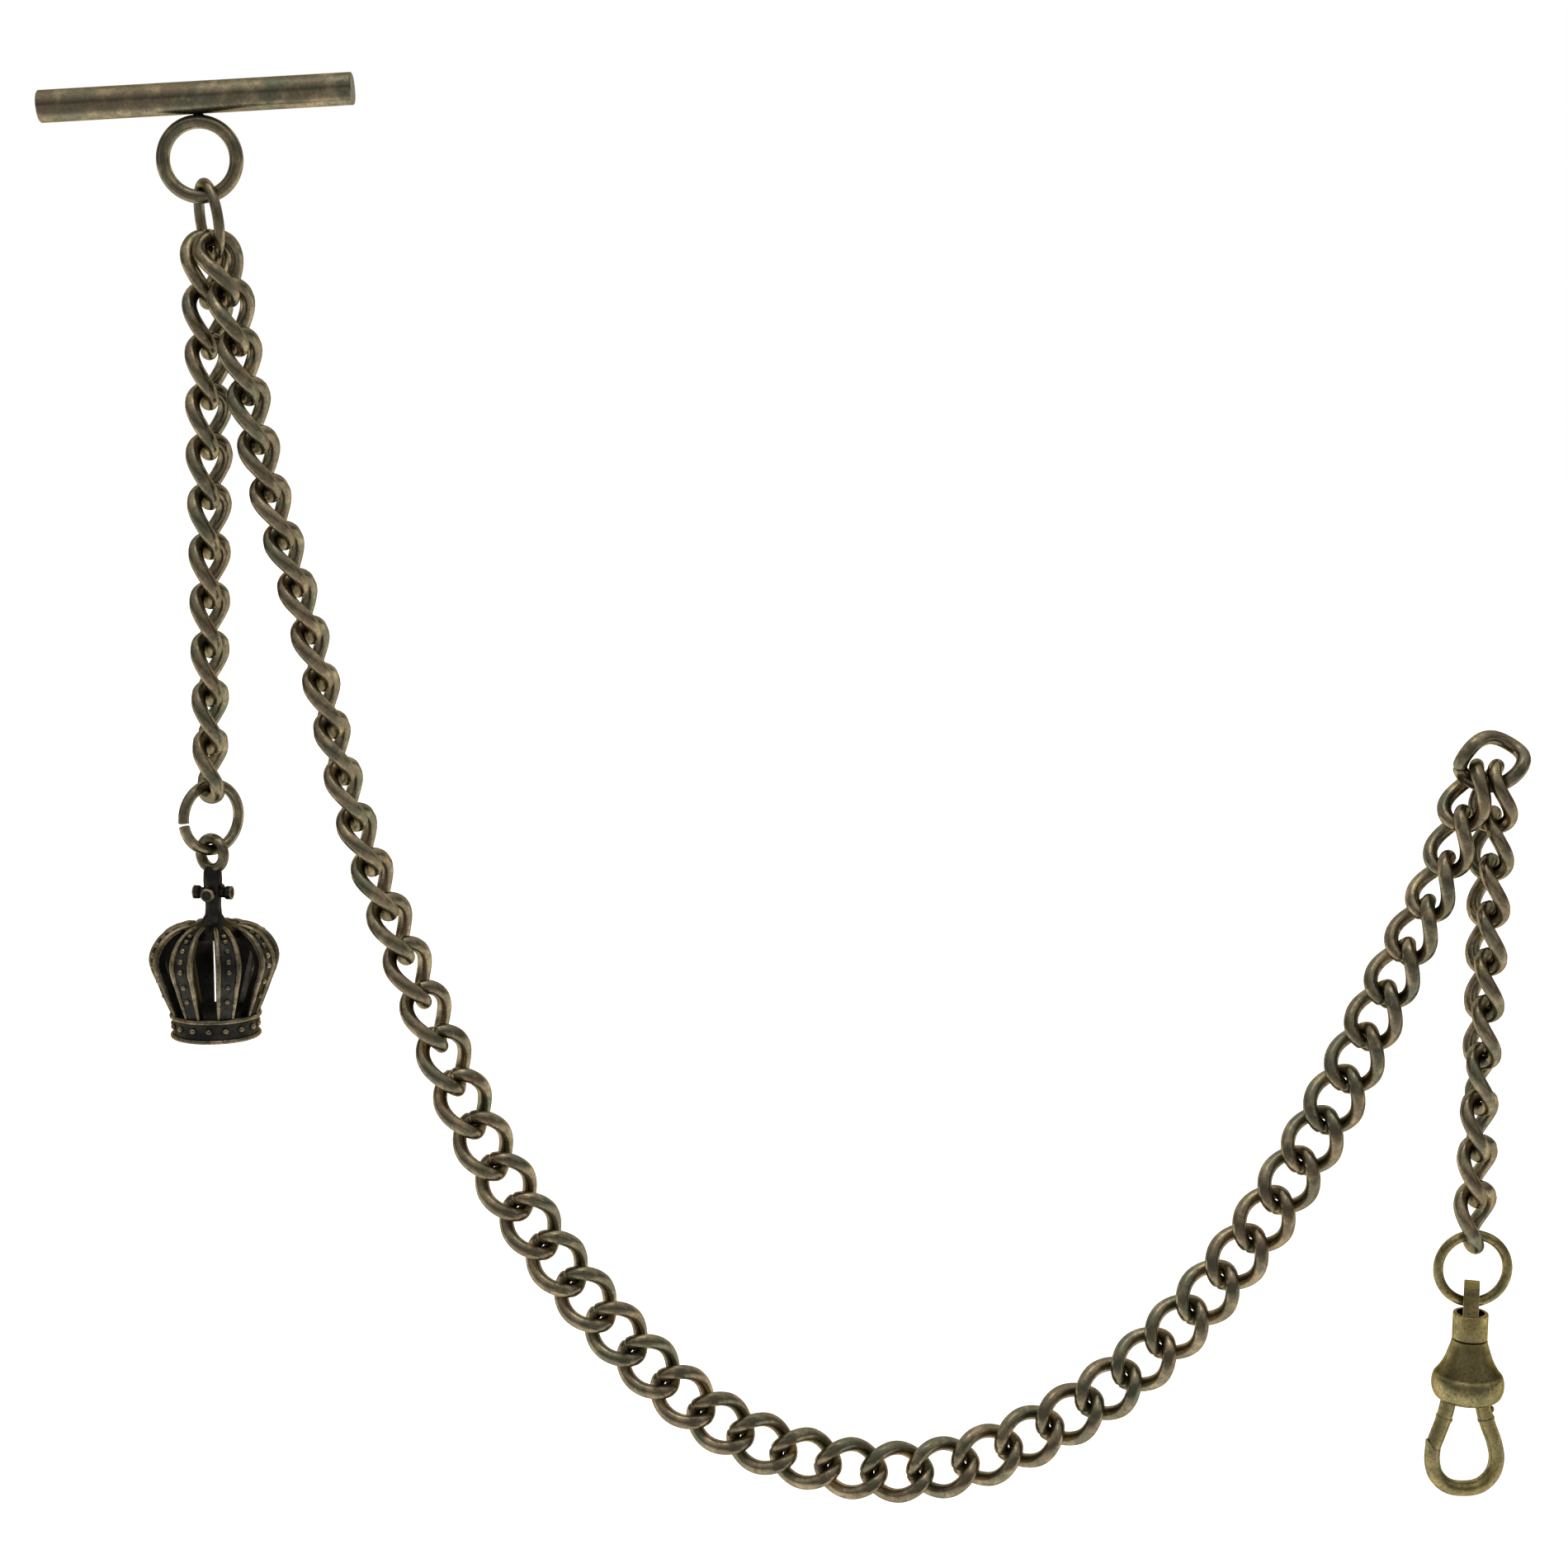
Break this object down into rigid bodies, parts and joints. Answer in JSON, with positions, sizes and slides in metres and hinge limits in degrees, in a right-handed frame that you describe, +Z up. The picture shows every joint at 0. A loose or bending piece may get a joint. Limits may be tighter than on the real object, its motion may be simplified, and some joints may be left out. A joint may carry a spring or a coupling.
{
  "type": "pocket watch chain",
  "caption": "Double-drop pocket watch chain: T-bar, twisted curb links in one long swag, a short fob drop with an open crown charm, and a drop with a swivel snap clasp.",
  "frame": {"origin": "inside the middle of the T-bar, where it sits behind a buttonhole", "axes": "+X from the T-bar towards the second hanging point, +Z up, -Y towards the front of the chain"},
  "size_m": [0.1829, 0.0158, 0.1782],
  "materials": {
    "antique_bronze": "polished and darkened bronze-brown plating",
    "antique_brass": "yellow antique brass with dark speckled patina",
    "blackened_bronze": "nearly black recesses with rubbed tan ribs",
    "spring_steel": "plain steel pin and coil"
  },
  "bodies": {
    "held_ends": {"t_bar": "antique_bronze", "t_bar_ring": "antique_bronze", "hook_link": "antique_bronze"},
    "swag_01": {"connector_link": "antique_bronze", "main_links_51_52": "antique_bronze"},
    "swag_02": {"main_links_01_02": "antique_bronze", "main_links_49_50": "antique_bronze"},
    "swag_03": {"main_links_03_04": "antique_bronze", "main_links_47_48": "antique_bronze"},
    "swag_04": {"main_links_05_06": "antique_bronze", "main_links_45_46": "antique_bronze"},
    "swag_05": {"main_links_07_08": "antique_bronze", "main_links_43_44": "antique_bronze"},
    "swag_06": {"main_links_09_10": "antique_bronze", "main_links_41_42": "antique_bronze"},
    "swag_07": {"main_links_11_12": "antique_bronze", "main_links_39_40": "antique_bronze"},
    "swag_08": {"main_links_13_14": "antique_bronze", "main_links_37_38": "antique_bronze"},
    "swag_09": {"main_links_15_16": "antique_bronze", "main_links_35_36": "antique_bronze"},
    "swag_10": {"main_links_17_18": "antique_bronze", "main_links_33_34": "antique_bronze"},
    "swag_11": {"main_links_19_20": "antique_bronze", "main_links_31_32": "antique_bronze"},
    "swag_12": {"main_links_21_22": "antique_bronze", "main_links_29_30": "antique_bronze"},
    "swag_13": {"main_links_23_25": "antique_bronze", "main_links_26_28": "antique_bronze"},
    "fob_01": {"fob_link_01": "antique_bronze"},
    "fob_02": {"fob_link_02": "antique_bronze"},
    "fob_03": {"fob_link_03": "antique_bronze"},
    "fob_04": {"fob_link_04": "antique_bronze"},
    "fob_05": {"fob_link_05": "antique_bronze"},
    "fob_06": {"fob_link_06": "antique_bronze"},
    "fob_07": {"fob_link_07": "antique_bronze"},
    "fob_08": {"fob_link_08": "antique_bronze"},
    "fob_09": {"fob_link_09": "antique_bronze"},
    "fob_10": {"fob_link_10": "antique_bronze"},
    "fob_11": {"fob_link_11": "antique_bronze"},
    "jump_ring": {"jump_ring": "antique_bronze"},
    "crown": {"crown_charm": "blackened_bronze"},
    "drop_01": {"drop_link_01": "antique_bronze"},
    "drop_02": {"drop_link_02": "antique_bronze"},
    "drop_03": {"drop_link_03": "antique_bronze"},
    "drop_04": {"drop_link_04": "antique_bronze"},
    "drop_05": {"drop_link_05": "antique_bronze"},
    "drop_06": {"drop_link_06": "antique_bronze"},
    "drop_07": {"drop_link_07": "antique_bronze"},
    "drop_08": {"drop_link_08": "antique_bronze"},
    "drop_09": {"drop_link_09": "antique_bronze"},
    "drop_10": {"drop_link_10": "antique_bronze"},
    "clasp_ring": {"clasp_ring": "antique_brass"},
    "swivel_eye": {"swivel_eye": "antique_brass", "swivel_post": "antique_brass"},
    "snap_hook": {"bell": "antique_brass", "hook": "antique_brass", "gate_pin": "spring_steel", "gate_spring": "spring_steel"},
    "gate": {"gate": "antique_brass"}
  },
  "joints": [
    {"name": "gate_hinge", "type": "hinge", "parent": "snap_hook", "child": "gate", "pos_m": [0.15625, 0.0006, -0.1608], "axis": [0, -1, 0], "range_deg": [0, 28], "stiffness_Nm_per_rad": 0.004, "springref_deg": -11.46},
    {"name": "hook_swivel", "type": "hinge", "parent": "swivel_eye", "child": "snap_hook", "pos_m": [0.15845, 0.0006, -0.1534], "axis": [0, 0, 1], "continuous": true},
    {"name": "swivel_eye_swing", "type": "hinge", "parent": "clasp_ring", "child": "swivel_eye", "pos_m": [0.15845, 0.0006, -0.14849], "axis": [1, 0, 0], "range_deg": [-20, 20]},
    {"name": "clasp_ring_swing", "type": "hinge", "parent": "drop_10", "child": "clasp_ring", "pos_m": [0.15845, 0.00046, -0.14044], "axis": [1, 0, 0], "range_deg": [-6, 6]},
    {"name": "crown_swing", "type": "hinge", "parent": "jump_ring", "child": "crown", "pos_m": [-0.00094, 0.0015, -0.09119], "axis": [0.6691, 0.7431, 0], "range_deg": [-20, 20]},
    {"name": "jump_ring_swing", "type": "hinge", "parent": "fob_11", "child": "jump_ring", "pos_m": [-0.00095, 0.0015, -0.08373], "axis": [0.76, -0.65, 0], "range_deg": [-8, 8]},
    {"name": "fob_01_swing", "type": "hinge", "parent": "swag_01", "child": "fob_01", "pos_m": [0.00055, 0.00157, -0.0168], "axis": [1, 0, 0], "range_deg": [0, 4]},
    {"name": "drop_01_swing", "type": "hinge", "parent": "held_ends", "child": "drop_01", "pos_m": [0.15832, -0.00155, -0.08122], "axis": [1, 0, 0], "range_deg": [0, 4]},
    {"name": "swag_01_swing", "type": "hinge", "parent": "held_ends", "child": "swag_01", "pos_m": [-0.00038, 0.00043, -0.01095], "axis": [-0.9128, -0.006, 0.4083], "range_deg": [0, 3]},
    {"name": "swag_02_swing", "type": "hinge", "parent": "swag_01", "child": "swag_02", "pos_m": [0.00203, -0.00126, -0.01671], "axis": [-0.8953, -0.0024, 0.4454], "range_deg": [0, 3]},
    {"name": "swag_03_swing", "type": "hinge", "parent": "swag_02", "child": "swag_03", "pos_m": [0.00422, -0.00294, -0.02872], "axis": [-0.8889, -0.0238, 0.4574], "range_deg": [0, 3]},
    {"name": "swag_04_swing", "type": "hinge", "parent": "swag_03", "child": "swag_04", "pos_m": [0.00597, -0.00056, -0.04041], "axis": [-0.8829, 0.0029, 0.4696], "range_deg": [0, 3]},
    {"name": "swag_05_swing", "type": "hinge", "parent": "swag_04", "child": "swag_05", "pos_m": [0.00876, -0.00005, -0.05204], "axis": [-0.8733, 0.0004, 0.4871], "range_deg": [0, 3]},
    {"name": "swag_06_swing", "type": "hinge", "parent": "swag_05", "child": "swag_06", "pos_m": [0.01201, -0.00001, -0.0635], "axis": [-0.861, -0.0001, 0.5087], "range_deg": [-3, 3]},
    {"name": "swag_07_swing", "type": "hinge", "parent": "swag_06", "child": "swag_07", "pos_m": [0.01434, 0.00005, -0.07518], "axis": [-0.8491, 0.0004, 0.5283], "range_deg": [-3, 3]},
    {"name": "swag_08_swing", "type": "hinge", "parent": "swag_07", "child": "swag_08", "pos_m": [0.01689, -0.00005, -0.08684], "axis": [-0.8347, -0.0007, 0.5506], "range_deg": [-3, 3]},
    {"name": "swag_09_swing", "type": "hinge", "parent": "swag_08", "child": "swag_09", "pos_m": [0.02059, 0.00007, -0.09815], "axis": [-0.8136, 0.0003, 0.5814], "range_deg": [-3, 3]},
    {"name": "swag_10_swing", "type": "hinge", "parent": "swag_09", "child": "swag_10", "pos_m": [0.02522, -0.00007, -0.10913], "axis": [-0.7839, -0.0005, 0.6209], "range_deg": [-3, 3]},
    {"name": "swag_11_swing", "type": "hinge", "parent": "swag_10", "child": "swag_11", "pos_m": [0.02903, 0.00034, -0.12043], "axis": [-0.7562, 0.0039, 0.6543], "range_deg": [-3, 3]},
    {"name": "swag_12_swing", "type": "hinge", "parent": "swag_11", "child": "swag_12", "pos_m": [0.03401, 0.00021, -0.13131], "axis": [-0.7317, 0.0041, 0.6816], "range_deg": [-3, 3]},
    {"name": "swag_13_swing", "type": "hinge", "parent": "swag_12", "child": "swag_13", "pos_m": [0.04017, -0.00001, -0.1415], "axis": [-0.7002, -0.0004, 0.7139], "range_deg": [-3, 3]},
    {"name": "fob_02_swing", "type": "hinge", "parent": "fob_01", "child": "fob_02", "pos_m": [0.00006, 0.0014, -0.02308], "axis": [1, 0, 0], "range_deg": [0, 4]},
    {"name": "fob_03_swing", "type": "hinge", "parent": "fob_02", "child": "fob_03", "pos_m": [0.0002, 0.00179, -0.02914], "axis": [1, 0, 0], "range_deg": [0, 4]},
    {"name": "fob_04_swing", "type": "hinge", "parent": "fob_03", "child": "fob_04", "pos_m": [-0.00002, 0.0015, -0.03519], "axis": [1, 0, 0], "range_deg": [0, 4]},
    {"name": "fob_05_swing", "type": "hinge", "parent": "fob_04", "child": "fob_05", "pos_m": [-0.00013, 0.0015, -0.04124], "axis": [1, 0, 0], "range_deg": [0, 4]},
    {"name": "fob_06_swing", "type": "hinge", "parent": "fob_05", "child": "fob_06", "pos_m": [-0.00024, 0.0015, -0.04729], "axis": [1, 0, 0], "range_deg": [0, 4]},
    {"name": "fob_07_swing", "type": "hinge", "parent": "fob_06", "child": "fob_07", "pos_m": [-0.00036, 0.0015, -0.05334], "axis": [1, 0, 0], "range_deg": [-4, 4]},
    {"name": "fob_08_swing", "type": "hinge", "parent": "fob_07", "child": "fob_08", "pos_m": [-0.00047, 0.0015, -0.05939], "axis": [1, 0, 0], "range_deg": [-4, 4]},
    {"name": "fob_09_swing", "type": "hinge", "parent": "fob_08", "child": "fob_09", "pos_m": [-0.00059, 0.0015, -0.06544], "axis": [1, 0, 0], "range_deg": [-4, 4]},
    {"name": "fob_10_swing", "type": "hinge", "parent": "fob_09", "child": "fob_10", "pos_m": [-0.00071, 0.0015, -0.07149], "axis": [1, 0, 0], "range_deg": [-4, 4]},
    {"name": "fob_11_swing", "type": "hinge", "parent": "fob_10", "child": "fob_11", "pos_m": [-0.00082, 0.0015, -0.07754], "axis": [1, 0, 0], "range_deg": [-4, 4]},
    {"name": "drop_02_swing", "type": "hinge", "parent": "drop_01", "child": "drop_02", "pos_m": [0.15856, 0.00101, -0.0863], "axis": [1, 0, 0], "range_deg": [0, 4]},
    {"name": "drop_03_swing", "type": "hinge", "parent": "drop_02", "child": "drop_03", "pos_m": [0.15852, 0.00107, -0.0923], "axis": [1, 0, 0], "range_deg": [0, 4]},
    {"name": "drop_04_swing", "type": "hinge", "parent": "drop_03", "child": "drop_04", "pos_m": [0.15834, 0.00061, -0.09828], "axis": [1, 0, 0], "range_deg": [0, 4]},
    {"name": "drop_05_swing", "type": "hinge", "parent": "drop_04", "child": "drop_05", "pos_m": [0.1584, 0.0007, -0.10428], "axis": [1, 0, 0], "range_deg": [-4, 4]},
    {"name": "drop_06_swing", "type": "hinge", "parent": "drop_05", "child": "drop_06", "pos_m": [0.1584, 0.0007, -0.11028], "axis": [1, 0, 0], "range_deg": [-4, 4]},
    {"name": "drop_07_swing", "type": "hinge", "parent": "drop_06", "child": "drop_07", "pos_m": [0.15885, 0.00063, -0.11628], "axis": [1, 0, 0], "range_deg": [-4, 4]},
    {"name": "drop_08_swing", "type": "hinge", "parent": "drop_07", "child": "drop_08", "pos_m": [0.15882, 0.00053, -0.12228], "axis": [1, 0, 0], "range_deg": [-4, 4]},
    {"name": "drop_09_swing", "type": "hinge", "parent": "drop_08", "child": "drop_09", "pos_m": [0.1584, 0.0007, -0.12828], "axis": [1, 0, 0], "range_deg": [-4, 4]},
    {"name": "drop_10_swing", "type": "hinge", "parent": "drop_09", "child": "drop_10", "pos_m": [0.1584, 0.0007, -0.13428], "axis": [1, 0, 0], "range_deg": [-4, 4]}
  ]
}
